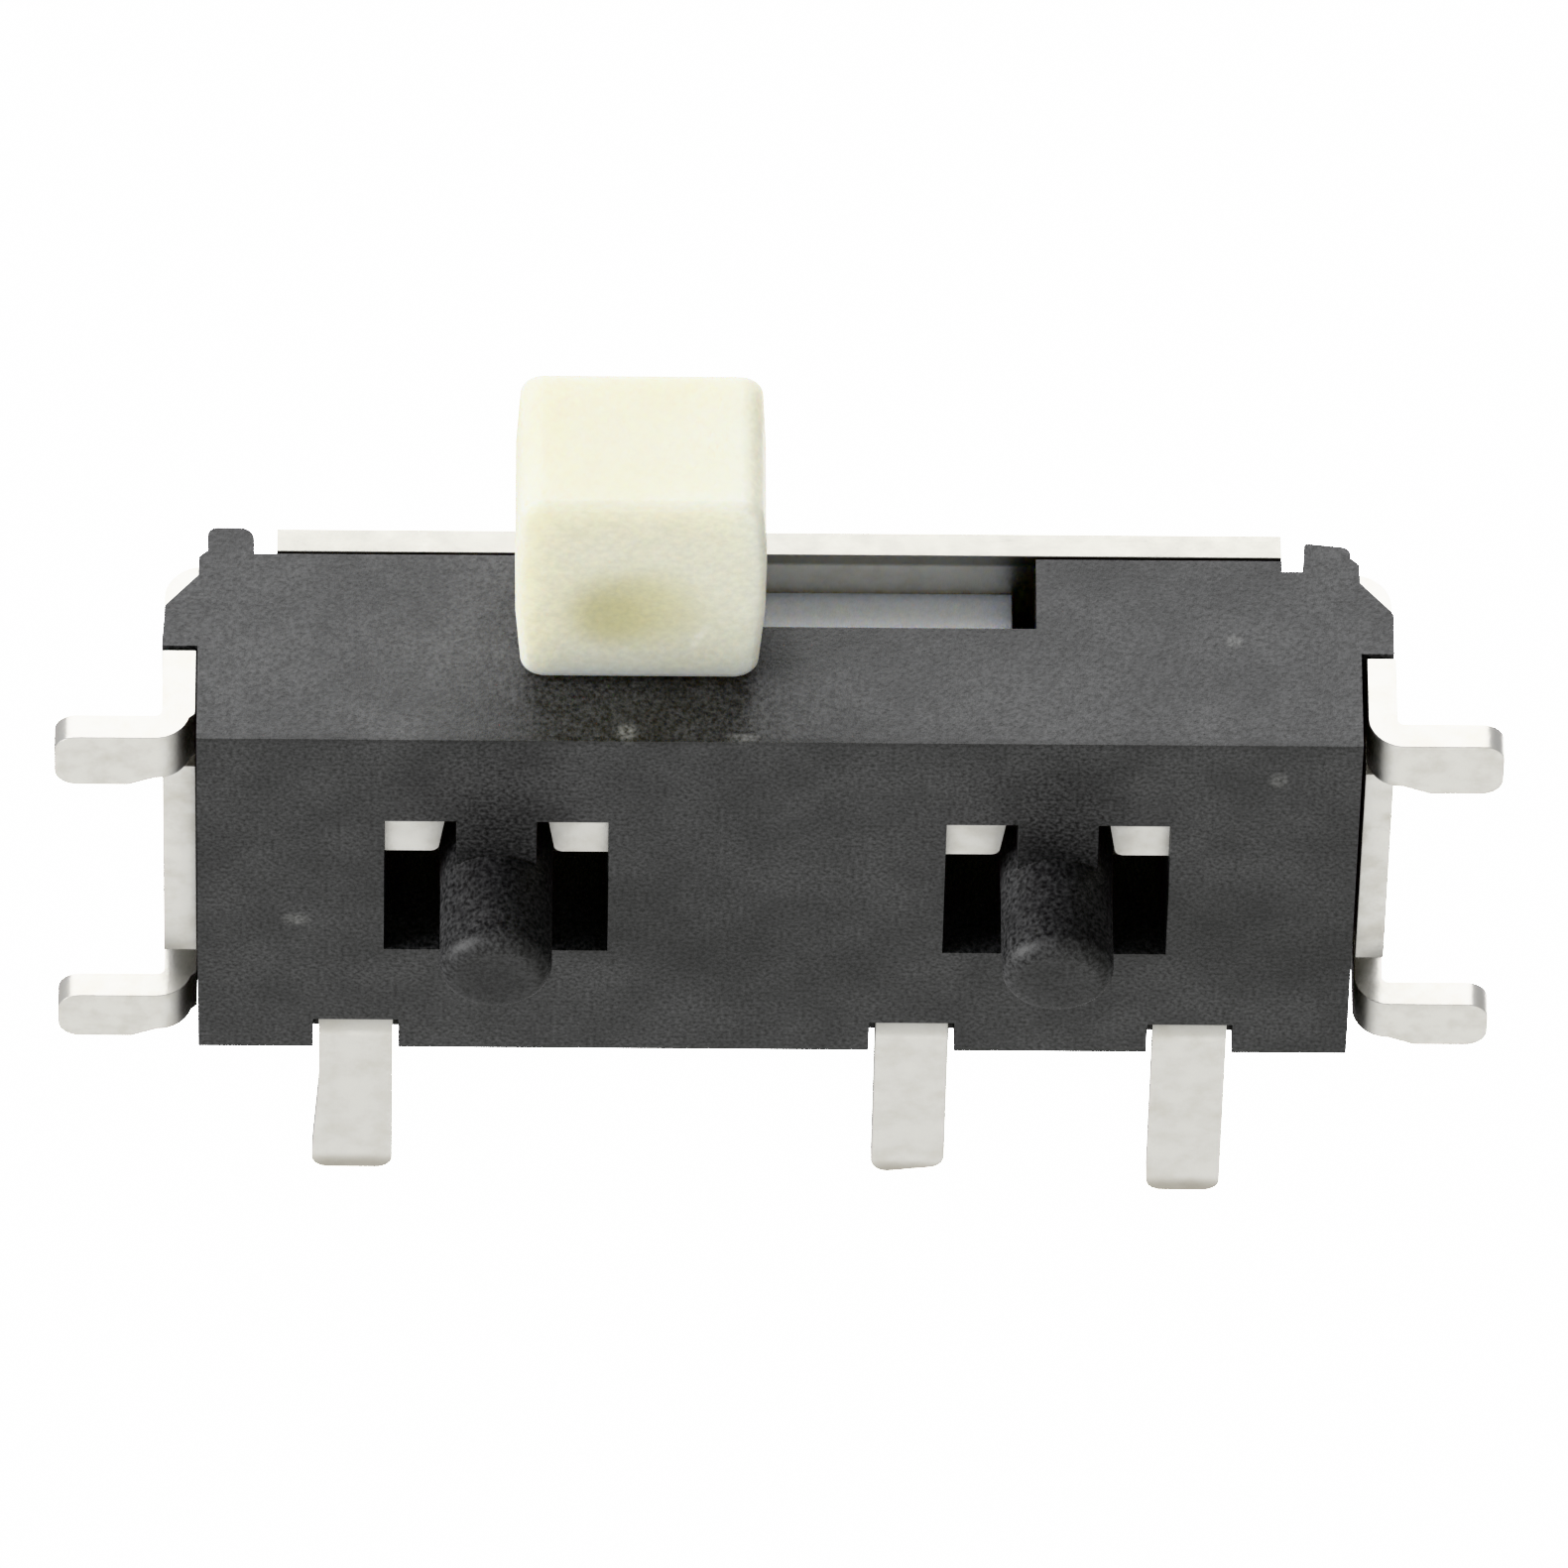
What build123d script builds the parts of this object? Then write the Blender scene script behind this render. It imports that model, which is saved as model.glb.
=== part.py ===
from build123d import *
import math
import os

# A two-position slide switch for surface mounting, with its lever at the side
# Millimetres: z = 0 is the face that seats on the circuit board and Z points away from the board
# X runs along the lever's travel, the lever points to -Y and the solder terminals leave at +Y

# Moulded base
base_length = 6.2
base_width = 2.7
base_height = 1.27
front_wall = 0.30
rear_wall = 0.30
end_wall = 0.30
floor_height = 0.78
front_wall_drop = 0.04
end_edge_break = 0.04

# Wings and ears at the two ends of the front wall, which catch and centre the cover
wing_reach = 0.23
wing_bottom = 0.625
wing_side_height = 0.275
wing_side_lean = 0.055
wing_depth = 0.30
wing_tip_radius = 0.015
wing_corner_radius = 0.05
ear_width = 0.25
ear_setback = 0.045
ear_rise = 0.005
ear_drop_right = 0.055
ear_slant_right = 0.03
ear_outer_radius = 0.055
ear_inner_radius = 0.08
ear_inner_radius_right = 0.02
notch_drop_right = 0.05
shoulder_height = 1.16
shoulder_radius = 0.10

# Catch on each end wall, which holds the rear of the cover
catch_length = 0.40
catch_reach = 0.12
catch_bottom = 0.50
catch_height = 0.25
catch_y = 0.40

# Locating pegs and the moulding windows beside them
peg_spacing = 3.0
peg_y = -0.05
peg_radius = 0.30
peg_height = 0.60
peg_tip_radius = 0.10
window_inner = 0.213
window_width = 0.387
window_front = -0.644
window_length = 1.124
window_draft = 1.5

# Solder terminals, and the contact pads that they end in
terminal_pitch = 1.5
terminal_width = 0.40
terminal_thickness = 0.12
terminal_reach_left = 1.08
terminal_reach_common = 1.11
terminal_reach_right = 1.24
terminal_bend_radius = 0.09
toe_radius = 0.09
toe_slant_common = 0.06
toe_flare_left = 0.045
notch_depth = 0.245
notch_side_gap = 0.03
notch_head_gap = 0.03
pad_front = -0.70
pad_rear = 0.58
common_pad_half = 0.55
pad_gap = 0.30
arm_gap = 0.14
arm_width = 0.26
window_seal = 0.05
anchor_bottom = 0.12
anchor_reach = 0.41
anchor_wall = 0.03
anchor_inner_gap = 0.045
anchor_slant = 0.055
anchor_radius = 0.05

# Folded cover
sheet_thickness = 0.155
cover_end_gap = 0.03
cover_rear_setback = 0.14
cover_bend_radius = 0.13
ear_gap = 0.12
wing_gap = 0.03
wall_bottom = 0.20
lug_reach = 0.57
lug_width_front = 0.35
lug_width_rear = 0.30
lug_flare = 0.06
lug_flare_run = 0.14
lug_bend_radius = 0.115
lug_tip_radius = 0.12
relief_width = 0.15
relief_height = 0.22
catch_gap = 0.03

# Slider, one moulding of block, stem and knob
travel = 1.5
stem_width = 1.20
stop_gap = 0.02
block_end_gap = 0.05
block_side_gap = 0.01
block_floor_gap = 0.02
block_cover_gap = 0.01
knob_reach = 1.50
knob_face_gap = 0.02
knob_bottom = 0.40
knob_height = 0.91
knob_width_base = 1.24
knob_width_middle = 1.335
knob_width_tip = 1.27
knob_corner_radius = 0.13
knob_root_radius = 0.14
knob_edge_radius = 0.05
dimple_radius = 0.32
dimple_depth = 0.02
dimple_x = -0.08
dimple_y = -1.99

# Moving contact clip in the slider
clip_thickness = 0.06
clip_width = 0.74
clip_slit = 0.12
clip_slit_start = 0.30
clip_arm_slope = 33.0
clip_top_half = 0.36
clip_tip_run = 0.20
clip_bend_radius = 0.10
clip_pad_gap = 0.015
pocket_gap = 0.03

# Places that follow from the sizes above
base_half = base_length / 2
front_y = -base_width / 2
rear_y = base_width / 2
inner_front_y = front_y + front_wall
inner_rear_y = rear_y - rear_wall
cavity_length = base_length - 2 * end_wall
cavity_width = inner_rear_y - inner_front_y
slot_length = travel + stem_width + 2 * stop_gap
cover_top = base_height + sheet_thickness
ear_outer = base_half - ear_setback
ear_inner = ear_outer - ear_width
ear_top = cover_top + ear_rise
window_depth = floor_height - terminal_thickness
window_middle = window_front + window_length / 2
peg_x = peg_spacing / 2
window_middle_x = window_inner + window_width / 2
anchor_near = window_inner + anchor_inner_gap
anchor_far = window_inner + window_width + window_seal
pad_middle = (pad_front + pad_rear) / 2
rest_x = -travel / 2


# Solder terminal: a pad flush with the cavity's floor, a riser in the rear wall and a toe on the board
def terminal_part(label, place, reach, pad_low, pad_high, neck_front, toe_slant, toe_flare, peg):
    strip_z = floor_height - terminal_thickness / 2
    riser_y = rear_y - notch_depth + terminal_thickness / 2
    toe_y = rear_y + reach
    toe_start_y = rear_y + reach / 3
    with BuildPart() as terminal:
        with BuildSketch(Plane.XY.offset(floor_height)):
            with Locations(((pad_low + pad_high) / 2, pad_front)):
                Rectangle(pad_high - pad_low, pad_rear - pad_front, align=(Align.CENTER, Align.MIN))
        extrude(amount=-terminal_thickness)
        if neck_front > pad_rear:
            neck_side = place + terminal_width / 2
            with BuildSketch(Plane.XY.offset(floor_height)):
                with BuildLine():
                    Polyline(
                        (pad_low, pad_rear),
                        (pad_high, pad_rear),
                        (pad_high, neck_front),
                        (neck_side, neck_front),
                        (neck_side, neck_front + arm_width),
                        (pad_low, neck_front + arm_width),
                        close=True,
                    )
                make_face()
            extrude(amount=-terminal_thickness)
        with BuildSketch(Plane.YZ.offset(place - terminal_width / 2)):
            with BuildLine():
                FilletPolyline(
                    (neck_front, strip_z),
                    (riser_y, strip_z),
                    (riser_y, terminal_thickness / 2),
                    (toe_start_y, terminal_thickness / 2),
                    radius=terminal_bend_radius,
                )
            trace(line_width=terminal_thickness)
        extrude(amount=terminal_width)
        # Tabs folded down from an end pad's front, whose feet show in the windows beside the peg
        tab_y = window_front - anchor_wall - terminal_thickness / 2
        foot_y = tab_y + terminal_bend_radius
        foot_rear = window_front + anchor_reach
        for side in (-1, 1) if peg else ():
            near = peg + side * anchor_near
            far = peg + side * anchor_far
            with BuildSketch(Plane.YZ.offset(min(near, far))):
                with BuildLine():
                    FilletPolyline(
                        (foot_y + terminal_thickness, anchor_bottom + terminal_thickness / 2),
                        (tab_y, anchor_bottom + terminal_thickness / 2),
                        (tab_y, strip_z),
                        (pad_middle, strip_z),
                        radius=terminal_bend_radius,
                    )
                trace(line_width=terminal_thickness)
            extrude(amount=anchor_far - anchor_near)
            with BuildSketch(Plane.XY.offset(anchor_bottom)):
                with BuildLine():
                    foot_outline = FilletPolyline(
                        (near, foot_y),
                        (near + side * anchor_slant, foot_rear),
                        (far, foot_rear),
                        (far, foot_y),
                        radius=anchor_radius,
                    )
                    Line(foot_outline @ 1, foot_outline @ 0)
                make_face()
            extrude(amount=terminal_thickness)
        with BuildSketch(Plane.XY):
            with BuildLine():
                toe_outline = FilletPolyline(
                    (place - terminal_width / 2, toe_start_y),
                    (place - terminal_width / 2 - toe_flare, toe_y),
                    (place + terminal_width / 2, toe_y - toe_slant),
                    (place + terminal_width / 2, toe_start_y),
                    radius=toe_radius,
                )
                Line(toe_outline @ 1, toe_outline @ 0)
            make_face()
        extrude(amount=terminal_thickness)
    terminal.part.label = label
    return terminal.part


end_pad_inner = common_pad_half + pad_gap
end_pad_outer = max(peg_x + anchor_far, 1.5 * terminal_pitch + terminal_width / 2)
end_neck_front = pad_rear - terminal_thickness
terminal_left = terminal_part(
    "terminal_left",
    -1.5 * terminal_pitch,
    terminal_reach_left,
    -end_pad_outer,
    -end_pad_inner,
    end_neck_front,
    0,
    toe_flare_left,
    -peg_x,
)
terminal_common = terminal_part(
    "terminal_common",
    0.5 * terminal_pitch,
    terminal_reach_common,
    -common_pad_half,
    common_pad_half,
    pad_rear + arm_gap,
    toe_slant_common,
    0,
    None,
)
terminal_right = terminal_part(
    "terminal_right",
    1.5 * terminal_pitch,
    terminal_reach_right,
    end_pad_inner,
    end_pad_outer,
    end_neck_front,
    0,
    0,
    peg_x,
)

# Base: a block with its cavity open to the cover, pegs below and the terminals moulded in
with BuildPart() as base:
    with BuildSketch(Plane.XY):
        Rectangle(base_length, base_width)
    extrude(amount=base_height)
    top_end_edges = base.edges().filter_by(Axis.Y).group_by(Axis.Z)[-1]
    chamfer(top_end_edges, length=end_edge_break)

    # Wing and ear at each end of the front wall, with the right ear a little lower
    top_right = ear_top - ear_drop_right
    for side, inner_top, outer_top, inner_radius in (
        (-1, ear_top, ear_top, ear_inner_radius),
        (1, top_right, top_right - ear_slant_right, ear_inner_radius_right),
    ):
        with BuildSketch(Plane.XZ.offset(base_width / 2)):
            with BuildLine():
                wing_outline = FilletPolyline(
                    (side * ear_inner, wing_bottom),
                    (side * (base_half + wing_reach), wing_bottom),
                    (
                        side * (base_half + wing_reach - wing_side_lean),
                        wing_bottom + wing_side_height,
                    ),
                    (side * ear_outer, shoulder_height),
                    (side * ear_outer, outer_top),
                    (side * ear_inner, inner_top),
                    (side * ear_inner, shoulder_height),
                    radius=(
                        wing_tip_radius,
                        wing_corner_radius,
                        shoulder_radius,
                        ear_outer_radius,
                        inner_radius,
                    ),
                )
                Line(wing_outline @ 1, wing_outline @ 0)
            make_face()
        extrude(amount=-wing_depth)

    # Catch on each end wall, flat below and sloped above
    with BuildSketch(Plane.XZ.offset(-catch_y)):
        with BuildLine():
            Polyline(
                (base_half, catch_bottom),
                (base_half + catch_reach, catch_bottom),
                (base_half, catch_bottom + catch_height),
                close=True,
            )
        make_face()
        mirror(about=Plane.YZ)
    extrude(amount=catch_length / 2, both=True)

    # Cavity that the slider runs in, and the slot for its stem
    with BuildSketch(Plane.XY.offset(floor_height)):
        with Locations((0, (inner_front_y + inner_rear_y) / 2)):
            Rectangle(cavity_length, cavity_width)
    extrude(amount=base_height - floor_height, mode=Mode.SUBTRACT)
    with BuildSketch(Plane.XZ.offset(base_width / 2)):
        with Locations((0, floor_height)):
            Rectangle(slot_length, base_height - floor_height, align=(Align.CENTER, Align.MIN))
    extrude(amount=-front_wall, mode=Mode.SUBTRACT)

    # Front wall's top, a little below the cover, and lower still beside the right ear
    with BuildSketch(Plane.XZ.offset(base_width / 2)):
        with Locations((0, base_height)):
            Rectangle(2 * ear_inner, front_wall_drop, align=(Align.CENTER, Align.MAX))
        with Locations((ear_inner, base_height)):
            Rectangle(
                ear_gap,
                front_wall_drop + notch_drop_right,
                align=(Align.MAX, Align.MAX),
            )
    extrude(amount=-front_wall, mode=Mode.SUBTRACT)

    # Windows where the mould held the contact pads, with the pegs between them
    with BuildSketch(Plane.XY):
        with Locations((-peg_x, window_middle), (peg_x, window_middle)):
            with GridLocations(2 * window_middle_x, 1, 2, 1):
                Rectangle(window_width, window_length)
    extrude(amount=window_depth, taper=window_draft, mode=Mode.SUBTRACT)
    with BuildSketch(Plane.XY):
        with Locations((-peg_x, peg_y), (peg_x, peg_y)):
            Circle(peg_radius)
    extrude(amount=window_depth, taper=-window_draft)
    with BuildSketch(Plane.XY):
        with Locations((-peg_x, peg_y), (peg_x, peg_y)):
            Circle(peg_radius)
    extrude(amount=-peg_height)
    peg_rims = base.edges().filter_by(GeomType.CIRCLE).group_by(Axis.Z)[0]
    fillet(peg_rims, radius=peg_tip_radius)

    # Notches where the terminals leave the rear edge
    with BuildSketch(Plane.XY):
        for place in (-1.5 * terminal_pitch, 0.5 * terminal_pitch, 1.5 * terminal_pitch):
            with Locations((place, rear_y)):
                Rectangle(
                    terminal_width + 2 * notch_side_gap,
                    notch_depth,
                    align=(Align.CENTER, Align.MAX),
                )
    extrude(amount=terminal_thickness + notch_head_gap, mode=Mode.SUBTRACT)
    add(terminal_left, mode=Mode.SUBTRACT)
    add(terminal_common, mode=Mode.SUBTRACT)
    add(terminal_right, mode=Mode.SUBTRACT)
base.part.label = "base"

# Cover: one sheet folded down over both ends, with four solder lugs turned outwards
wall_x = base_half + cover_end_gap + sheet_thickness / 2
lug_tip = wall_x + sheet_thickness / 2 + lug_reach
cover_front_corner = front_y + wing_depth + wing_gap
cover_rear_y = rear_y - cover_rear_setback
front_lug_rear = front_y + lug_width_front
rear_lug_front = cover_rear_y - lug_width_rear
foot_start = wall_x + lug_bend_radius
flare_end = foot_start + lug_flare_run
with BuildPart() as cover:
    with BuildSketch(Plane.XZ.offset(base_width / 2)):
        with BuildLine():
            FilletPolyline(
                (0, cover_top - sheet_thickness / 2),
                (wall_x, cover_top - sheet_thickness / 2),
                (wall_x, sheet_thickness / 2),
                (flare_end, sheet_thickness / 2),
                radius=(cover_bend_radius, lug_bend_radius),
            )
        trace(line_width=sheet_thickness)
    extrude(amount=front_y - cover_rear_y)

    # Corner that clears the ear and the wing
    with BuildSketch(Plane.XZ.offset(base_width / 2)):
        with BuildLine():
            Polyline(
                (ear_inner - ear_gap, wing_bottom - wing_gap),
                (flare_end, wing_bottom - wing_gap),
                (flare_end, cover_top),
                (ear_inner - ear_gap, cover_top),
                close=True,
            )
        make_face()
    extrude(amount=front_y - cover_front_corner, mode=Mode.SUBTRACT)

    # End wall's lower edge between the lugs, with a relief beside each lug
    with BuildSketch(Plane.YZ.offset(base_half)):
        with BuildLine():
            Polyline(
                (front_lug_rear, 0),
                (rear_lug_front, 0),
                (rear_lug_front, wall_bottom + relief_height),
                (rear_lug_front - relief_width, wall_bottom + relief_height),
                (rear_lug_front - relief_width, wall_bottom),
                (front_lug_rear + relief_width, wall_bottom),
                (front_lug_rear + relief_width, wall_bottom + relief_height),
                (front_lug_rear, wall_bottom + relief_height),
                close=True,
            )
        make_face()
    extrude(amount=flare_end - base_half, mode=Mode.SUBTRACT)

    # Lugs' feet on the board, which widen a little behind the bend and have rounded tips
    with BuildSketch(Plane.XY):
        for foot_front, foot_rear in ((front_y, front_lug_rear), (rear_lug_front, cover_rear_y)):
            with BuildLine():
                foot_outline = FilletPolyline(
                    (foot_start, foot_front),
                    (lug_tip, foot_front),
                    (lug_tip, foot_rear + lug_flare),
                    (flare_end, foot_rear + lug_flare),
                    (foot_start, foot_rear),
                    radius=(lug_tip_radius, lug_tip_radius, lug_flare / 2),
                )
                Line(foot_outline @ 1, foot_outline @ 0)
            make_face()
    extrude(amount=sheet_thickness)

    # Window that the base's catch snaps into
    with BuildSketch(Plane.YZ.offset(base_half)):
        with Locations((catch_y, catch_bottom - catch_gap)):
            Rectangle(
                catch_length + 2 * catch_gap,
                catch_height + 2 * catch_gap,
                align=(Align.CENTER, Align.MIN),
            )
    extrude(amount=lug_tip - base_half, mode=Mode.SUBTRACT)
    mirror(about=Plane.YZ)
cover.part.label = "cover"

# Slider: a block in the cavity, a stem through the slot and the knob outside, drawn at rest
slider_bottom = floor_height + block_floor_gap
slider_top = base_height - block_cover_gap
block_front_y = inner_front_y + block_side_gap
block_rear_y = inner_rear_y - block_side_gap
block_length = cavity_length - travel - 2 * block_end_gap
knob_rear_y = front_y - knob_face_gap
knob_tip_y = front_y - knob_reach
stem_length = block_front_y - knob_rear_y + 2 * knob_root_radius
clip_reach = travel / 2 + clip_tip_run
clip_rise = (travel / 2 - clip_top_half) * math.tan(math.radians(clip_arm_slope))
clip_vertex_drop = clip_bend_radius * (1 / math.cos(math.radians(clip_arm_slope)) - 1)
clip_vertex_z = floor_height + clip_pad_gap + clip_thickness / 2 - clip_vertex_drop
clip_top_z = clip_vertex_z + clip_rise
clip_tip_z = clip_vertex_z + clip_tip_run * math.tan(math.radians(clip_arm_slope))
pocket_top = clip_top_z + clip_thickness / 2 + pocket_gap
dimple_ball = (dimple_radius**2 + dimple_depth**2) / (2 * dimple_depth)
knob_middle_y = (knob_rear_y + knob_tip_y) / 2
with BuildPart() as slider:
    # Knob, a little barrelled, with a shallow round sink in the face towards the board
    with BuildSketch(Plane.XY.offset(knob_bottom)) as knob_plan:
        with BuildLine():
            rear_edge = Line(
                (rest_x - knob_width_base / 2, knob_rear_y),
                (rest_x + knob_width_base / 2, knob_rear_y),
            )
            right_side = ThreePointArc(
                rear_edge @ 1,
                (rest_x + knob_width_middle / 2, knob_middle_y),
                (rest_x + knob_width_tip / 2, knob_tip_y),
            )
            tip_edge = Line(right_side @ 1, (rest_x - knob_width_tip / 2, knob_tip_y))
            ThreePointArc(
                tip_edge @ 1,
                (rest_x - knob_width_middle / 2, knob_middle_y),
                rear_edge @ 0,
            )
        make_face()
        fillet(knob_plan.vertices().group_by(Axis.Y)[-1], radius=knob_root_radius)
        fillet(knob_plan.vertices().group_by(Axis.Y)[0], radius=knob_corner_radius)
    extrude(amount=knob_height)
    knob_rims = slider.edges().group_by(Axis.Z)
    fillet(knob_rims[0] + knob_rims[-1], radius=knob_edge_radius)
    with Locations((rest_x + dimple_x, dimple_y, knob_bottom + dimple_depth - dimple_ball)):
        Sphere(dimple_ball, mode=Mode.SUBTRACT)

    # Stem through the slot, and the block that runs in the cavity
    with BuildSketch(Plane.XY.offset(slider_bottom)):
        with Locations((rest_x, (block_front_y + block_rear_y) / 2)):
            Rectangle(block_length, block_rear_y - block_front_y)
        with Locations((rest_x, block_front_y)):
            Rectangle(stem_width, stem_length, align=(Align.CENTER, Align.MAX))
    extrude(amount=slider_top - slider_bottom)

    # Pocket under the block for the contact clip
    with BuildSketch(Plane.XY.offset(slider_bottom)):
        with Locations((rest_x, pad_middle)):
            Rectangle(2 * (clip_reach + pocket_gap), clip_width + 2 * pocket_gap)
    extrude(amount=pocket_top - slider_bottom, mode=Mode.SUBTRACT)
slider.part.label = "slider"

# Moving contact: a springy clip with two split arms that bridges two pads
with BuildPart() as moving_contact:
    with BuildSketch(Plane.XZ.offset(-pad_middle)):
        with BuildLine():
            FilletPolyline(
                (rest_x - clip_reach, clip_tip_z),
                (rest_x - travel / 2, clip_vertex_z),
                (rest_x - clip_top_half, clip_top_z),
                (rest_x + clip_top_half, clip_top_z),
                (rest_x + travel / 2, clip_vertex_z),
                (rest_x + clip_reach, clip_tip_z),
                radius=clip_bend_radius,
            )
        trace(line_width=clip_thickness)
    extrude(amount=clip_width / 2, both=True)
    with BuildSketch(Plane.XY.offset(floor_height)):
        for side in (-1, 1):
            with Locations((rest_x + side * (clip_slit_start + clip_reach), pad_middle)):
                Rectangle(2 * clip_reach, clip_slit)
    extrude(amount=base_height - floor_height, mode=Mode.SUBTRACT)
moving_contact.part.label = "moving_contact"

os.makedirs("parts", exist_ok=True)
export_step(base.part, "parts/base.step")
export_step(cover.part, "parts/cover.step")
export_step(slider.part, "parts/slider.step")
export_step(moving_contact.part, "parts/moving_contact.step")
export_step(terminal_left, "parts/terminal_left.step")
export_step(terminal_common, "parts/terminal_common.step")
export_step(terminal_right, "parts/terminal_right.step")
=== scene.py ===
"""Looks of a side-lever slide switch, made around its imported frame."""

import logging
import math
from dataclasses import dataclass, field
from enum import Enum

import bpy
from mathutils import Matrix, Vector


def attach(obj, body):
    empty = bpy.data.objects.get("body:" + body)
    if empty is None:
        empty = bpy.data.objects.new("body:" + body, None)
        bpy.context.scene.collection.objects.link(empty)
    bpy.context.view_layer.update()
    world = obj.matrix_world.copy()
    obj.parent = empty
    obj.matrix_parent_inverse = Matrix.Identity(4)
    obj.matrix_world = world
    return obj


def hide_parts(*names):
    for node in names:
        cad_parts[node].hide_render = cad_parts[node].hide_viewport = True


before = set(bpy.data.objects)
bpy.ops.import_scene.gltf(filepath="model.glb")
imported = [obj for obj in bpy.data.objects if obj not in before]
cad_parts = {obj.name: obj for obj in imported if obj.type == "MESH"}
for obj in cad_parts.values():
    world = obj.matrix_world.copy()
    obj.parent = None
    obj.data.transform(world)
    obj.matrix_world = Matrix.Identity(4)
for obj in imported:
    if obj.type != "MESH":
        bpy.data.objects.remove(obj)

logging.basicConfig(level=logging.INFO, format="%(message)s")
log = logging.getLogger("slide_switch")

MM = 0.001
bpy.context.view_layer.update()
WHITE = (1.0, 1.0, 1.0, 1.0)

# Sockets that share their names with others on the same node, and so go by number
MIX_FACTOR, MIX_BELOW, MIX_ABOVE, MIX_RESULT = 0, 6, 7, 2
MATH_FIRST, MATH_SECOND = 0, 1

# The part of a noise pattern's range that most of it keeps to
NOISE_LOW, NOISE_HIGH = 0.3, 0.7

# How many times as long as wide a sheet's rolling lines are
LINE_STRETCH = 14.0

# Places that several marks share, in millimetres: the lever side, the seat on the board, the
# knob's face towards the board, the pegs, and each terminal's middle in X with its toe in Y
LEVER_SIDE_Y = -1.35
SEAT_Z = 0.0
KNOB_UNDERSIDE_Z = 0.4
PEG_X, PEG_Y, PEG_TIP_Z = 1.5, -0.05, -0.6
TERMINAL_TOES = ((-2.25, 2.43), (0.75, 2.46), (2.25, 2.59))

# Radius in millimetres of a mark that runs right across a part
ACROSS = 40.0


def linear(code: str) -> tuple[float, float, float, float]:
    """Turn an sRGB hex colour into linear light.

    Args:
        code: The colour as six hex digits after a #.

    Returns:
        The linear red, green, blue and an alpha of one.
    """
    parts = [int(code[i : i + 2], 16) / 255 for i in (1, 3, 5)]
    red, green, blue = (
        part / 12.92 if part <= 0.04045 else ((part + 0.055) / 1.055) ** 2.4 for part in parts
    )
    return (red, green, blue, 1.0)


def per_metre(size_mm: float) -> float:
    """Texture scale at which one feature of a pattern is size_mm across."""
    return 1 / (size_mm * MM)


def add_node(
    tree: bpy.types.NodeTree,
    kind: str,
    inputs: dict | None = None,
    links: dict | None = None,
    **settings: object,
) -> bpy.types.Node:
    """Add a shader node with its settings and links.

    Args:
        tree: The node tree to add to.
        kind: The node's type name.
        inputs: Values for its input sockets, by socket name or number.
        links: Output sockets to link to its inputs, by input name or number.
        settings: Properties of the node itself.

    Returns:
        The new node.
    """
    node = tree.nodes.new(kind)
    for name, value in settings.items():
        setattr(node, name, value)
    for name, value in (inputs or {}).items():
        node.inputs[name].default_value = value
    for name, socket in (links or {}).items():
        tree.links.new(socket, node.inputs[name])
    return node


def empty_material(name: str) -> bpy.types.Material:
    """Make a material whose node tree is empty.

    Args:
        name: The finish's name.

    Returns:
        The new material.
    """
    material = bpy.data.materials.new(name)
    material.use_nodes = True
    material.node_tree.nodes.clear()
    return material


class Rolling(Enum):
    """Direction of a sheet's rolling lines, as how much finer the pattern is along X, Y and Z."""

    ALONG_X = (1.0, LINE_STRETCH, LINE_STRETCH)
    ALONG_Y = (LINE_STRETCH, 1.0, LINE_STRETCH)


@dataclass(frozen=True)
class StainAndPaintedLight:
    """A soft-edged patch of another colour: wear, grime, bare cut edges and other tints, and also
    painted highlights and painted shade.
    """

    colour: str
    place_mm: tuple[float, float, float]
    radius_mm: tuple[float, float, float]
    amount: float
    fade: float = 0.75
    turn_deg: float = 0.0

    def lay(
        self, tree: bpy.types.NodeTree, place: bpy.types.NodeSocket, below: bpy.types.NodeSocket
    ) -> bpy.types.NodeSocket:
        """Mix the patch over a colour, strongest in the patch's middle.

        Args:
            tree: The finish's node tree.
            place: The Object coordinates.
            below: The colour that the patch lies on.

        Returns:
            The colour with the patch on it.
        """
        local = add_node(
            tree,
            "ShaderNodeMapping",
            {
                "Location": [v * MM for v in self.place_mm],
                "Rotation": (0.0, 0.0, math.radians(self.turn_deg)),
                "Scale": [v * MM for v in self.radius_mm],
            },
            {"Vector": place},
            vector_type="TEXTURE",
        )
        near = add_node(
            tree,
            "ShaderNodeTexGradient",
            {},
            {"Vector": local.outputs["Vector"]},
            gradient_type="SPHERICAL",
        )
        share = add_node(
            tree,
            "ShaderNodeMapRange",
            {"From Min": 0.0, "From Max": self.fade, "To Max": self.amount},
            {"Value": near.outputs["Fac"]},
            interpolation_type="SMOOTHSTEP",
        )
        mixed = add_node(
            tree,
            "ShaderNodeMix",
            {MIX_ABOVE: linear(self.colour)},
            {MIX_FACTOR: share.outputs["Result"], MIX_BELOW: below},
            data_type="RGBA",
        )
        return mixed.outputs[MIX_RESULT]


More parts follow.
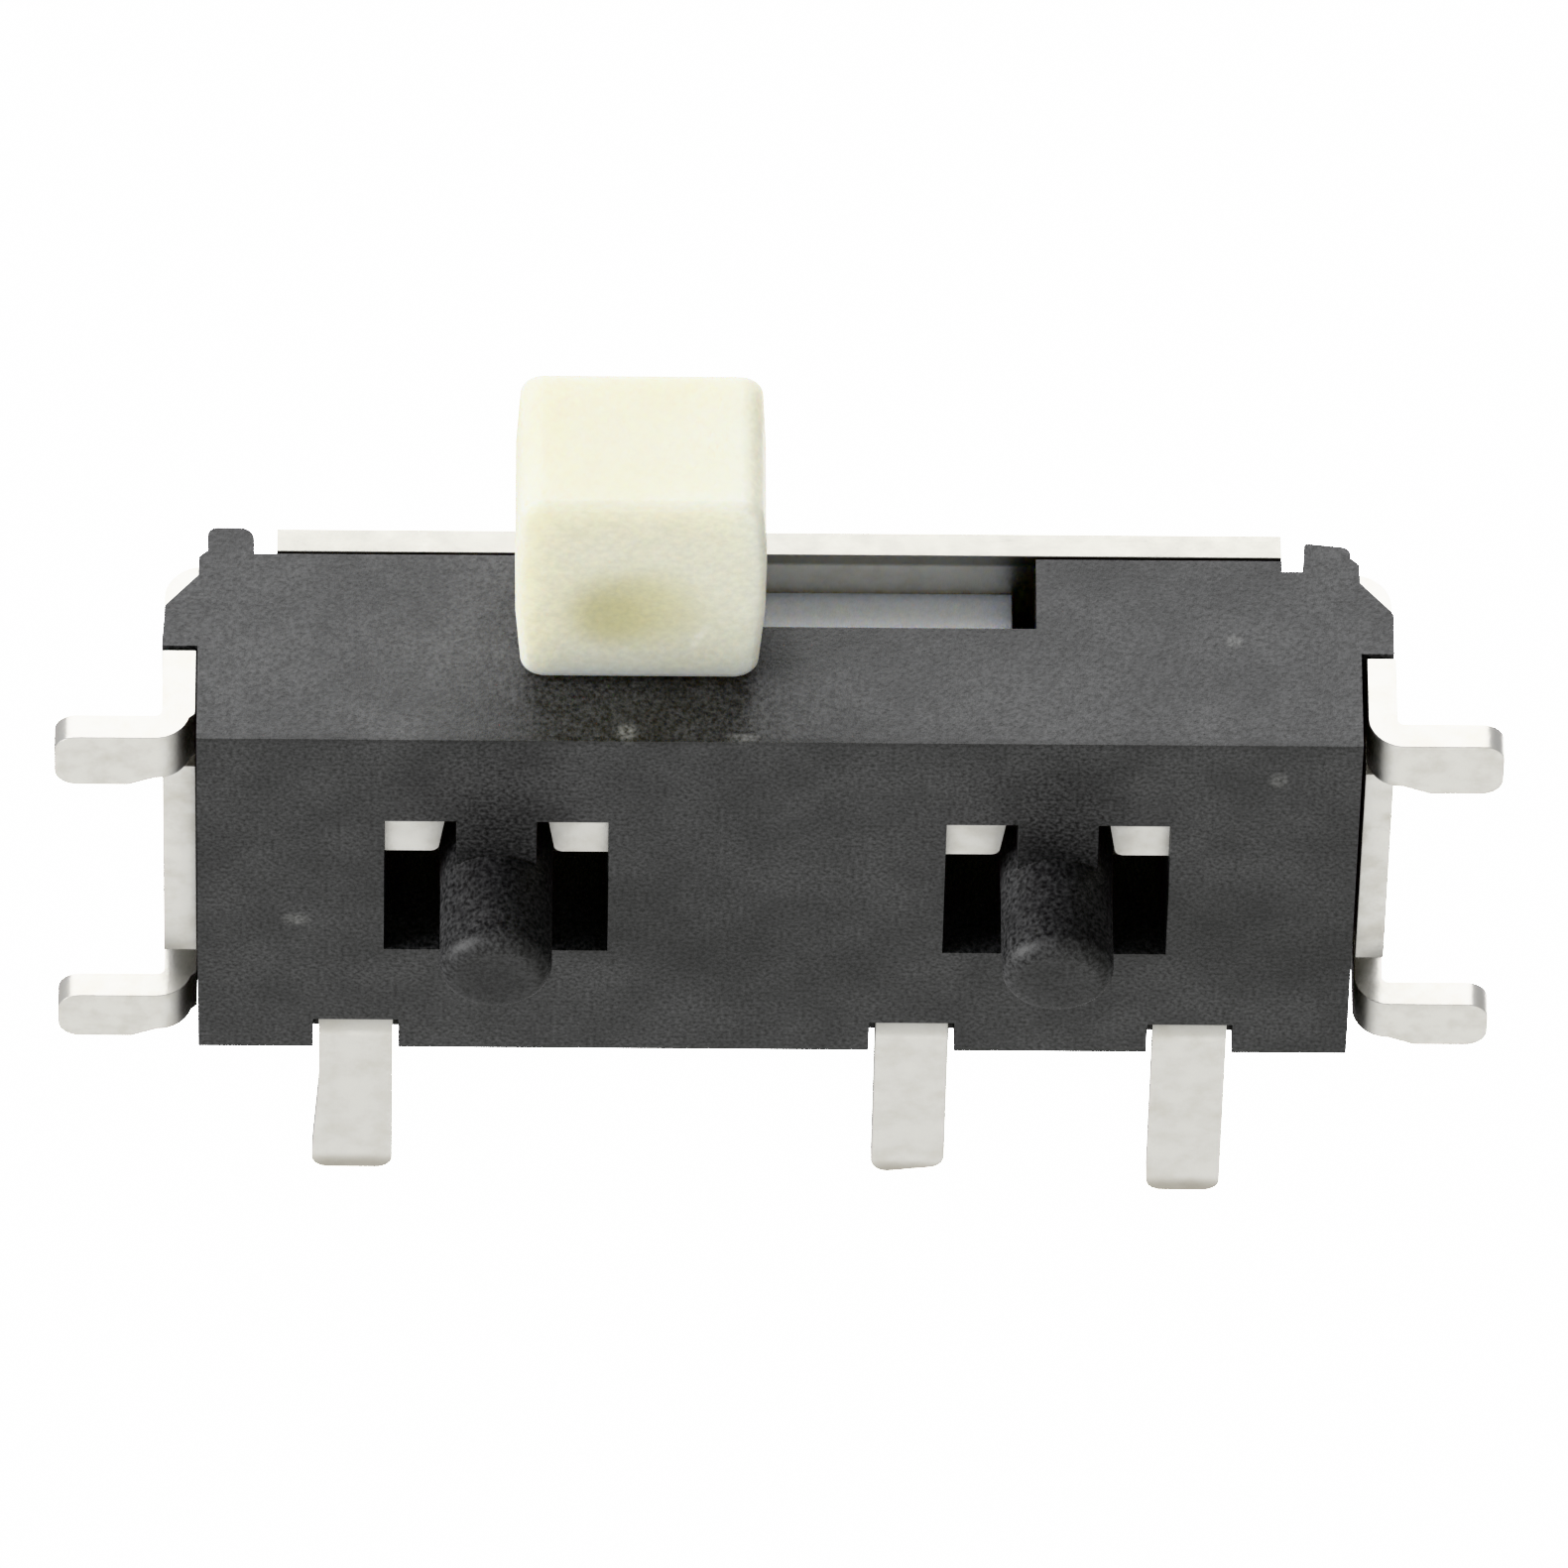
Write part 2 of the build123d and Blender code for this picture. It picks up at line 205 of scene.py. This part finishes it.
@dataclass(frozen=True)
class MouldedPlastic:
    """Injection-moulded plastic with the fine matte texture that a spark-eroded mould gives."""

    name: str
    colour: str
    shade: str
    fleck: str
    roughness: float
    cloud_mm: float
    grain_mm: float
    grain_contrast: float
    grain_depth_mm: float
    fleck_mm: float = 0.35
    fleck_share: float = 0.0
    specular: float = 0.5
    glow: float = 0.0
    glow_mm: float = 0.2
    glow_spread: tuple[float, float, float] = (1.0, 0.85, 0.6)
    ior: float = 1.5
    cloud_low: float = 0.35
    cloud_high: float = 0.65
    fleck_rim: float = 0.05
    fleck_core: float = 0.02
    roughness_swing: float = 0.07
    wave_ratio: float = 2.0
    stains_and_painted_light: tuple[StainAndPaintedLight, ...] = ()

    def build(self) -> bpy.types.Material:
        """Make the material.

        Returns:
            The plastic's material.
        """
        material = empty_material(self.name)
        tree = material.node_tree
        place = add_node(tree, "ShaderNodeTexCoord").outputs["Object"]
        cloud = add_node(
            tree,
            "ShaderNodeTexNoise",
            {"Scale": per_metre(self.cloud_mm), "Detail": 3.0},
            {"Vector": place},
        )
        clouds = add_node(
            tree,
            "ShaderNodeMapRange",
            {"From Min": self.cloud_low, "From Max": self.cloud_high},
            {"Value": cloud.outputs["Fac"]},
        )
        tone = add_node(
            tree,
            "ShaderNodeMix",
            {MIX_BELOW: linear(self.shade), MIX_ABOVE: linear(self.colour)},
            {MIX_FACTOR: clouds.outputs["Result"]},
            data_type="RGBA",
        )
        stained_and_painted = tone.outputs[MIX_RESULT]
        # Lay the stains and the patches of painted highlight and painted shade over the tone
        for stain_or_painted_light in self.stains_and_painted_light:
            stained_and_painted = stain_or_painted_light.lay(tree, place, stained_and_painted)
        # Flecks of filler that reach the skin, one in a few cells
        cells = add_node(
            tree,
            "ShaderNodeTexVoronoi",
            {"Scale": per_metre(self.fleck_mm)},
            {"Vector": place},
        )
        near = add_node(
            tree,
            "ShaderNodeMapRange",
            {"From Min": self.fleck_rim, "From Max": self.fleck_core},
            {"Value": cells.outputs["Distance"]},
        )
        chosen = add_node(
            tree,
            "ShaderNodeMath",
            {MATH_SECOND: 1 - self.fleck_share},
            {MATH_FIRST: cells.outputs["Color"]},
            operation="GREATER_THAN",
        )
        fleck_cover = add_node(
            tree,
            "ShaderNodeMath",
            {},
            {MATH_FIRST: near.outputs["Result"], MATH_SECOND: chosen.outputs["Value"]},
            operation="MULTIPLY",
        )
        flecked = add_node(
            tree,
            "ShaderNodeMix",
            {MIX_ABOVE: linear(self.fleck)},
            {MIX_FACTOR: fleck_cover.outputs["Value"], MIX_BELOW: stained_and_painted},
            data_type="RGBA",
        )
        grain = add_node(
            tree,
            "ShaderNodeTexNoise",
            {"Scale": per_metre(self.grain_mm), "Detail": 2.0},
            {"Vector": place},
        )
        grain_light = add_node(
            tree,
            "ShaderNodeMapRange",
            {
                "From Min": NOISE_LOW,
                "From Max": NOISE_HIGH,
                "To Min": 1 - self.grain_contrast,
                "To Max": 1 + self.grain_contrast,
            },
            {"Value": grain.outputs["Fac"]},
        )
        grained = add_node(
            tree,
            "ShaderNodeMix",
            {MIX_FACTOR: 1.0},
            {MIX_BELOW: flecked.outputs[MIX_RESULT], MIX_ABOVE: grain_light.outputs["Result"]},
            data_type="RGBA",
            blend_type="MULTIPLY",
            clamp_result=True,
        )
        rough = add_node(
            tree,
            "ShaderNodeMapRange",
            {
                "From Min": NOISE_LOW,
                "From Max": NOISE_HIGH,
                "To Min": self.roughness - self.roughness_swing,
                "To Max": self.roughness + self.roughness_swing,
            },
            {"Value": grain.outputs["Fac"]},
        )
        relief = add_node(
            tree,
            "ShaderNodeBump",
            {"Strength": 1.0, "Distance": self.grain_depth_mm * MM},
            {"Height": grain.outputs["Fac"]},
        )
        waves = add_node(
            tree,
            "ShaderNodeBump",
            {"Strength": 1.0, "Distance": self.wave_ratio * self.grain_depth_mm * MM},
            {"Height": cloud.outputs["Fac"], "Normal": relief.outputs["Normal"]},
        )
        skin = add_node(
            tree,
            "ShaderNodeBsdfPrincipled",
            {
                "IOR": self.ior,
                "Specular IOR Level": self.specular,
                "Subsurface Weight": self.glow,
                "Subsurface Radius": self.glow_spread,
                "Subsurface Scale": self.glow_mm * MM,
            },
            {
                "Base Color": grained.outputs[MIX_RESULT],
                "Roughness": rough.outputs["Result"],
                "Normal": waves.outputs["Normal"],
            },
        )
        add_node(tree, "ShaderNodeOutputMaterial", {}, {"Surface": skin.outputs["BSDF"]})
        return material


@dataclass(frozen=True)
class PlatedSheet:
    """Sheet metal with a satin plating, which lets the rolling lines of the sheet show faintly.

    Real lines and grit are finer; here they are as coarse as they need to be to show.
    """

    name: str
    colour: str
    tarnish: str
    roughness: float
    tarnish_mm: float
    tarnish_share: float
    line_mm: float = 0.05
    line_depth_mm: float = 0.0006
    grit_mm: float = 0.03
    grit_depth_mm: float = 0.0008
    rolling: Rolling = Rolling.ALONG_X
    tarnish_low: float = 0.45
    tarnish_high: float = 0.75
    roughness_swing: float = 0.06
    stains_and_painted_light: tuple[StainAndPaintedLight, ...] = ()

    def build(self) -> bpy.types.Material:
        """Make the material.

        Returns:
            The plated metal's material.
        """
        material = empty_material(self.name)
        tree = material.node_tree
        place = add_node(tree, "ShaderNodeTexCoord").outputs["Object"]
        drawn = add_node(
            tree,
            "ShaderNodeMapping",
            {"Scale": self.rolling.value},
            {"Vector": place},
        )
        lines = add_node(
            tree,
            "ShaderNodeTexNoise",
            {"Scale": per_metre(self.line_mm) / LINE_STRETCH, "Detail": 3.0},
            {"Vector": drawn.outputs["Vector"]},
        )
        grit = add_node(
            tree,
            "ShaderNodeTexNoise",
            {"Scale": per_metre(self.grit_mm), "Detail": 2.0},
            {"Vector": place},
        )
        bloom = add_node(
            tree,
            "ShaderNodeTexNoise",
            {"Scale": per_metre(self.tarnish_mm), "Detail": 4.0, "Roughness": 0.6},
            {"Vector": place},
        )
        dull = add_node(
            tree,
            "ShaderNodeMapRange",
            {
                "From Min": self.tarnish_low,
                "From Max": self.tarnish_high,
                "To Max": self.tarnish_share,
            },
            {"Value": bloom.outputs["Fac"]},
        )
        tone = add_node(
            tree,
            "ShaderNodeMix",
            {MIX_BELOW: linear(self.colour), MIX_ABOVE: linear(self.tarnish)},
            {MIX_FACTOR: dull.outputs["Result"]},
            data_type="RGBA",
        )
        stained_and_painted = tone.outputs[MIX_RESULT]
        # Lay the stains and the patches of painted highlight and painted shade over the tone
        for stain_or_painted_light in self.stains_and_painted_light:
            stained_and_painted = stain_or_painted_light.lay(tree, place, stained_and_painted)
        rough = add_node(
            tree,
            "ShaderNodeMapRange",
            {
                "From Min": NOISE_LOW,
                "From Max": NOISE_HIGH,
                "To Min": self.roughness - self.roughness_swing,
                "To Max": self.roughness + self.roughness_swing,
            },
            {"Value": bloom.outputs["Fac"]},
        )
        drawn_relief = add_node(
            tree,
            "ShaderNodeBump",
            {"Strength": 1.0, "Distance": self.line_depth_mm * MM},
            {"Height": lines.outputs["Fac"]},
        )
        relief = add_node(
            tree,
            "ShaderNodeBump",
            {"Strength": 1.0, "Distance": self.grit_depth_mm * MM},
            {"Height": grit.outputs["Fac"], "Normal": drawn_relief.outputs["Normal"]},
        )
        metal = add_node(
            tree,
            "ShaderNodeBsdfPrincipled",
            {"Metallic": 1.0},
            {
                "Base Color": stained_and_painted,
                "Roughness": rough.outputs["Result"],
                "Normal": relief.outputs["Normal"],
            },
        )
        add_node(tree, "ShaderNodeOutputMaterial", {}, {"Surface": metal.outputs["BSDF"]})
        return material


# Pale scuffs and dust that the photograph shows on the base: three on the lever side, two on the
# board side
SCUFFS = tuple(
    StainAndPaintedLight("#8c8c8a", place, radius, amount)
    for place, radius, amount in (
        ((-0.815, LEVER_SIDE_Y, 0.06), (0.08, 0.1, 0.08), 0.6),
        ((-0.2, LEVER_SIDE_Y, 0.03), (0.13, 0.1, 0.04), 0.35),
        ((2.42, LEVER_SIDE_Y, 0.7), (0.07, 0.1, 0.07), 0.25),
        ((-2.57, 0.22, SEAT_Z), (0.1, 0.07, 0.1), 0.35),
        ((2.66, -1.05, SEAT_Z), (0.07, 0.09, 0.1), 0.3),
    )
)

# Locating pegs' tips, painted a little darker
PEG_TIPS = tuple(
    StainAndPaintedLight("#2e2e2f", (x, PEG_Y, PEG_TIP_Z), (0.34, 0.34, 0.12), 0.6) for x in (-PEG_X, PEG_X)
)

# Glass-filled nylon, moulded: neutral dark grey, matte, with an even spark-eroded grain and a few
# pale flecks of filler; the grain is drawn at the size of a few of its real pits, so that it shows
BASE_NYLON = MouldedPlastic(
    name="glass_filled_nylon_moulded",
    colour="#484849",
    shade="#3c3c3d",
    fleck="#8a8a86",
    roughness=0.55,
    specular=0.62,
    cloud_mm=0.4,
    grain_mm=0.022,
    grain_contrast=0.7,
    grain_depth_mm=0.003,
    fleck_mm=0.4,
    fleck_share=0.12,
    stains_and_painted_light=(
        # Painted dark reflection: a faint dark line along the edge where the lever side meets the
        # board side
        StainAndPaintedLight("#161616", (0.0, LEVER_SIDE_Y, SEAT_Z), (ACROSS, 0.05, 0.05), 0.25),
        *SCUFFS,
        *PEG_TIPS,
    ),
)

# Acetal, moulded: cream, a little waxy, with a darker yellow patch in the sink under the knob and
# a painted highlight along the sink's edge; the block inside the base is painted a paler neutral,
# partly as painted light for the shade of its slot
LEVER_ACETAL = MouldedPlastic(
    name="cream_acetal_moulded",
    colour="#efefe2",
    shade="#e9e8d8",
    fleck="#f2f1e6",
    roughness=0.42,
    cloud_mm=0.8,
    grain_mm=0.035,
    grain_contrast=0.05,
    grain_depth_mm=0.002,
    glow=1.0,
    glow_mm=0.3,
    stains_and_painted_light=(
        StainAndPaintedLight("#cdc78e", (-0.8, -1.99, KNOB_UNDERSIDE_Z), (0.5, 0.46, 0.3), 0.5),
        StainAndPaintedLight("#c6bf80", (-0.9, -1.88, KNOB_UNDERSIDE_Z), (0.3, 0.28, 0.2), 0.35),
        # Painted highlight along the edge of the sink under the knob
        StainAndPaintedLight(
            "#f4f3ea", (-0.438, -1.734, KNOB_UNDERSIDE_Z), (0.04, 0.17, 0.2), 0.6, turn_deg=22.0
        ),
        # The block inside the base: a neutral tint, made paler as painted light for the shade of
        # its slot
        StainAndPaintedLight("#f4f4f3", (0.0, 0.3, 0.8), (ACROSS, 1.62, ACROSS), 1.0, fade=0.03),
    ),
)

# Steel sheet, tin plated: pale satin grey that goes slightly brown where the plating is thin; its
# front edge is painted a darker grey, and the cut edges towards the board have brown spots
COVER_TIN = PlatedSheet(
    name="tin_plated_steel_rolled",
    colour="#deddda",
    tarnish="#c4bfb2",
    roughness=0.38,
    tarnish_mm=0.16,
    tarnish_share=0.35,
    stains_and_painted_light=(
        StainAndPaintedLight("#a09f9b", (0.0, LEVER_SIDE_Y, 1.35), (ACROSS, 0.1, 0.3), 1.0, fade=0.3),
        *(
            StainAndPaintedLight("#9c937a", (x, y, 0.02), (0.16, along, 0.1), 0.75)
            for x, y, along in (
                (-3.18, -0.6, 0.14),
                (-3.14, -0.2, 0.2),
                (-3.22, 0.35, 0.12),
                (3.18, -0.5, 0.12),
                (3.15, 0.1, 0.2),
                (3.2, 0.55, 0.1),
            )
        ),
    ),
)

# Brass strip, silver plated: pale satin metal, evenly bright, darker and browner at the toes
TERMINAL_SILVER = PlatedSheet(
    name="silver_plated_brass_stamped",
    colour="#dddcd9",
    tarnish="#cfcbc1",
    roughness=0.42,
    tarnish_mm=0.18,
    tarnish_share=0.4,
    rolling=Rolling.ALONG_Y,
    stains_and_painted_light=tuple(
        StainAndPaintedLight("#989284", (x, toe, SEAT_Z), (0.6, 0.14, 0.3), 0.6) for x, toe in TERMINAL_TOES
    ),
)

# Phosphor bronze spring strip, silver plated: brighter and smoother, since it stays covered
CONTACT_SILVER = PlatedSheet(
    name="silver_plated_bronze_spring",
    colour="#e2e0da",
    tarnish="#d3cec2",
    roughness=0.3,
    tarnish_mm=0.2,
    tarnish_share=0.3,
)


def select_only(piece: bpy.types.Object) -> None:
    """Deselect everything, then select one object and make it active."""
    bpy.ops.object.select_all(action="DESELECT")
    piece.select_set(True)
    bpy.context.view_layer.objects.active = piece


@dataclass(frozen=True)
class Nudge:
    """A small shift of the corners that lie in one box, which closes or opens a drawn gap."""

    low_mm: tuple[float, float, float]
    high_mm: tuple[float, float, float]
    shift_mm: tuple[float, float, float]

    def apply(self, piece: bpy.types.Object) -> None:
        """Shift the corners of the active object, drawn at a thousand times its size.

        Args:
            piece: The object, in Object mode.
        """
        bpy.ops.object.mode_set(mode="EDIT")
        bpy.ops.mesh.select_mode(type="VERT")
        bpy.ops.mesh.select_all(action="DESELECT")
        bpy.ops.object.mode_set(mode="OBJECT")
        chosen = 0
        for corner in piece.data.vertices:
            corner.select = all(
                low <= place <= high
                for low, place, high in zip(self.low_mm, corner.co, self.high_mm)
            )
            chosen += corner.select
        bpy.ops.object.mode_set(mode="EDIT")
        bpy.ops.transform.translate(value=self.shift_mm)
        bpy.ops.object.mode_set(mode="OBJECT")
        log.info("%s: %d corners shifted", piece.name, chosen)


# The front wall's top comes closer under the cover, where the photograph shows only a faint slit,
# and the wings end flush with the straps beside them. Each row: the lowest and highest X, the
# lowest and highest Z, and the shift, all across the front wall's thickness
WALL_FRONT_Y, WALL_BACK_Y = -1.36, -1.04
BASE_NUDGES = tuple(
    Nudge((low_x, WALL_FRONT_Y, low_z), (high_x, WALL_BACK_Y, high_z), shift)
    for low_x, high_x, low_z, high_z, shift in (
        (-2.815, -1.36, 1.225, 1.235, (0.0, 0.0, 0.025)),
        (1.36, 2.69, 1.225, 1.235, (0.0, 0.0, 0.022)),
        (-3.4, -3.3, 0.6, 0.66, (0.035, 0.0, 0.0)),
        (3.3, 3.4, 0.6, 0.66, (-0.05, 0.0, 0.0)),
    )
)

# The left end wall comes against the base, where the photograph shows no gap
COVER_NUDGES = (Nudge((-3.134, -1.36, 0.15), (-3.126, 1.36, 1.24), (0.024, 0.0, 0.0)),)


@dataclass
class FinishedPart:
    """One part of the switch, with the small edge rounding that its mould or press tool leaves."""

    node: str
    piece_name: str
    body: str
    slot: str
    finish: MouldedPlastic | PlatedSheet
    edge_mm: float
    edge_steps: int = 2
    sharp_deg: float = 30.0
    smooth_deg: float = 35.0
    merge_mm: float = 2e-4
    flat_deg: float = 0.4
    nudges: tuple[Nudge, ...] = ()
    piece: bpy.types.Object | None = field(default=None, init=False)

    def build(self) -> None:
        """Model the part at a thousand times its size, where small distances are safe."""
        select_only(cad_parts[self.node])
        bpy.ops.object.duplicate()
        self.piece = bpy.context.view_layer.objects.active
        self.piece.name = self.piece_name
        self.piece.parent = None
        for key in list(self.piece.keys()):
            del self.piece[key]
        self.piece.data.materials.clear()
        self.piece.scale = (1 / MM,) * 3
        bpy.ops.object.transform_apply(location=False, rotation=False, scale=True)
        bpy.ops.mesh.customdata_custom_splitnormals_clear()
        bpy.ops.object.mode_set(mode="EDIT")
        bpy.ops.mesh.select_all(action="SELECT")
        bpy.ops.mesh.remove_doubles(threshold=self.merge_mm)
        bpy.ops.mesh.dissolve_limited(angle_limit=math.radians(self.flat_deg))
        bpy.ops.object.mode_set(mode="OBJECT")
        for nudge in self.nudges:
            nudge.apply(self.piece)
        self.round_edges()
        self.piece.scale = (MM,) * 3
        bpy.ops.object.transform_apply(location=False, rotation=False, scale=True)

    def round_edges(self) -> None:
        """Round the sharp edges, and shade the flats between them flat."""
        bevel = self.piece.modifiers.new("edge_rounding", "BEVEL")
        bevel.width = self.edge_mm
        bevel.segments = self.edge_steps
        bevel.limit_method = "ANGLE"
        bevel.angle_limit = math.radians(self.sharp_deg)
        bevel.use_clamp_overlap = True
        bpy.ops.object.modifier_apply(modifier=bevel.name)
        bpy.ops.object.shade_smooth_by_angle(angle=math.radians(self.smooth_deg))
        flats = self.piece.modifiers.new("flat_faces", "WEIGHTED_NORMAL")
        flats.keep_sharp = True
        bpy.ops.object.modifier_apply(modifier=flats.name)

    def dress(self, material: bpy.types.Material) -> None:
        """Give the part its finish and its place in the frame.

        Args:
            material: The finish's material, which parts of one finish share.
        """
        self.piece.data.materials.append(material)
        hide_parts(self.node)
        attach(self.piece, self.body)
        faces = len(self.piece.data.polygons)
        log.info("%s: %d faces, %s", self.piece.name, faces, self.finish.name)


@dataclass
class SubAssembly:
    """Parts that are made and dressed together."""

    parts: list[FinishedPart]

    def build(self) -> None:
        """Model every part."""
        for part in self.parts:
            part.build()

    def dress(self) -> None:
        """Give every part its finish, with one material for each finish."""
        materials: dict[str, bpy.types.Material] = {}
        for part in self.parts:
            if part.finish.name not in materials:
                materials[part.finish.name] = part.finish.build()
            part.dress(materials[part.finish.name])


@dataclass
class Housing(SubAssembly):
    """The fixed body: moulded base, folded cover and three terminals."""

    base_edge_mm: float = 0.022
    cover_edge_mm: float = 0.02
    terminal_edge_mm: float = 0.014
    parts: list[FinishedPart] = field(default_factory=list)

    def __post_init__(self) -> None:
        """List the parts with their edge roundings."""
        body = "housing"
        self.parts = [
            FinishedPart(
                "base",
                "moulded_base",
                body,
                "base_plastic",
                BASE_NYLON,
                self.base_edge_mm,
                nudges=BASE_NUDGES,
            ),
            FinishedPart(
                "cover",
                "folded_cover",
                body,
                "cover_metal",
                COVER_TIN,
                self.cover_edge_mm,
                nudges=COVER_NUDGES,
            ),
        ]
        for side in ("left", "common", "right"):
            self.parts.append(
                FinishedPart(
                    f"terminal_{side}",
                    f"solder_terminal_{side}",
                    body,
                    "terminal_metal",
                    TERMINAL_SILVER,
                    self.terminal_edge_mm,
                )
            )


@dataclass
class Lever(SubAssembly):
    """The moving body: cream slider with its knob, and the contact clip that it carries."""

    knob_edge_mm: float = 0.03
    clip_edge_mm: float = 0.008
    parts: list[FinishedPart] = field(default_factory=list)

    def __post_init__(self) -> None:
        """List the parts with their edge roundings."""
        body = "slider"
        self.parts = [
            FinishedPart(
                "slider", "lever_slider", body, "slider_plastic", LEVER_ACETAL, self.knob_edge_mm
            ),
            FinishedPart(
                "moving_contact",
                "contact_clip",
                body,
                "contact_metal",
                CONTACT_SILVER,
                self.clip_edge_mm,
            ),
        ]


@dataclass(frozen=True)
class Softbox:
    """A square white studio light that faces the switch."""

    name: str
    direction: tuple[float, float, float]
    distance_m: float
    width_m: float
    power_w: float

    def build(self) -> None:
        """Place the light and turn it to the switch."""
        data = bpy.data.lights.new(self.name, "AREA")
        data.shape = "SQUARE"
        data.size = self.width_m
        data.energy = self.power_w
        box = bpy.data.objects.new(self.name, data)
        bpy.context.scene.collection.objects.link(box)
        away = Vector(self.direction).normalized()
        box.location = away * self.distance_m
        box.rotation_mode = "QUATERNION"
        box.rotation_quaternion = away.to_track_quat("Z", "Y")
        box.visible_camera = False


@dataclass
class Studio:
    """Pale floor, soft light and the camera."""

    floor_z_m: float = -0.5
    floor_width_m: float = 80.0
    floor_colour: str = "#ecece9"
    floor_roughness: float = 0.9
    ambient: float = 0.54
    backdrop: float = 16.0
    azimuth_deg: float = -1.08
    elevation_deg: float = -37.79
    roll_deg: float = -0.26
    distance_mm: float = 123.6
    slide_right_mm: float = 0.042
    slide_up_mm: float = 0.607
    lens_px: float = 23273.0
    frame_px: float = 1581.0
    sensor_mm: float = 36.0
    nearest_m: float = 0.005
    farthest_m: float = 200.0
    boxes: tuple[Softbox, ...] = (
        Softbox("key_front_above", (-0.10, -0.57, 0.82), 0.40, 0.40, 1.72),
        Softbox("fill_rear_below", (0.0, 0.79, -0.61), 0.45, 0.50, 0.38),
        Softbox("fill_left", (-0.90, -0.35, -0.25), 0.40, 0.16, 1.41),
        Softbox("rim_rear_above", (0.35, 0.70, 0.62), 0.40, 0.30, 0.45),
    )

    def build(self) -> None:
        """Make the floor, the surroundings, the lights and the camera."""
        self.build_floor()
        self.build_surroundings()
        for box in self.boxes:
            box.build()
        self.build_camera()
        bpy.context.scene.view_settings.view_transform = "Khronos PBR Neutral"

    def build_floor(self) -> None:
        """Lay a pale floor far enough below to leave the camera above it."""
        bpy.ops.object.select_all(action="DESELECT")
        bpy.ops.mesh.primitive_plane_add(size=self.floor_width_m, location=(0, 0, self.floor_z_m))
        floor = bpy.context.active_object
        floor.name = "floor"
        material = empty_material("pale_painted_floor")
        tree = material.node_tree
        paint = add_node(
            tree,
            "ShaderNodeBsdfPrincipled",
            {"Base Color": linear(self.floor_colour), "Roughness": self.floor_roughness},
        )
        add_node(tree, "ShaderNodeOutputMaterial", {}, {"Surface": paint.outputs["BSDF"]})
        floor.data.materials.append(material)

    def build_surroundings(self) -> None:
        """Light the room softly, with a white backdrop behind the switch."""
        world = bpy.data.worlds.new("white_studio")
        world.use_nodes = True
        tree = world.node_tree
        tree.nodes.clear()
        ray = add_node(tree, "ShaderNodeLightPath")
        room, backdrop = (
            add_node(tree, "ShaderNodeBackground", {"Color": WHITE, "Strength": strength})
            for strength in (self.ambient, self.backdrop)
        )
        both = add_node(
            tree,
            "ShaderNodeMixShader",
            {},
            {
                0: ray.outputs["Is Camera Ray"],
                1: room.outputs["Background"],
                2: backdrop.outputs["Background"],
            },
        )
        add_node(tree, "ShaderNodeOutputWorld", {}, {"Surface": both.outputs["Shader"]})
        bpy.context.scene.world = world

    def build_camera(self) -> None:
        """Put the camera where the photograph was taken from, below and in front."""
        turn, rise = math.radians(self.azimuth_deg), math.radians(self.elevation_deg)
        back = Vector(
            (math.sin(turn) * math.cos(rise), -math.cos(turn) * math.cos(rise), math.sin(rise))
        )
        level = Vector((0, 0, 1)).cross(back).normalized()
        upright = back.cross(level)
        roll = math.radians(self.roll_deg)
        right = math.cos(roll) * level + math.sin(roll) * upright
        up = math.cos(roll) * upright - math.sin(roll) * level
        data = bpy.data.cameras.new("camera")
        data.sensor_width = self.sensor_mm
        data.lens = self.lens_px / self.frame_px * self.sensor_mm
        data.clip_start = self.nearest_m
        data.clip_end = self.farthest_m
        camera = bpy.data.objects.new("camera", data)
        bpy.context.scene.collection.objects.link(camera)
        place = back * self.distance_mm + right * self.slide_right_mm + up * self.slide_up_mm
        camera.rotation_mode = "QUATERNION"
        camera.rotation_quaternion = Matrix((right, up, back)).transposed().to_quaternion()
        camera.location = place * MM
        bpy.context.scene.camera = camera


def main() -> None:
    """Build the studio and the switch, and report each piece."""
    Studio().build()
    for assembly in (Housing(), Lever()):
        assembly.build()
        assembly.dress()


if __name__ == "__main__":
    main()
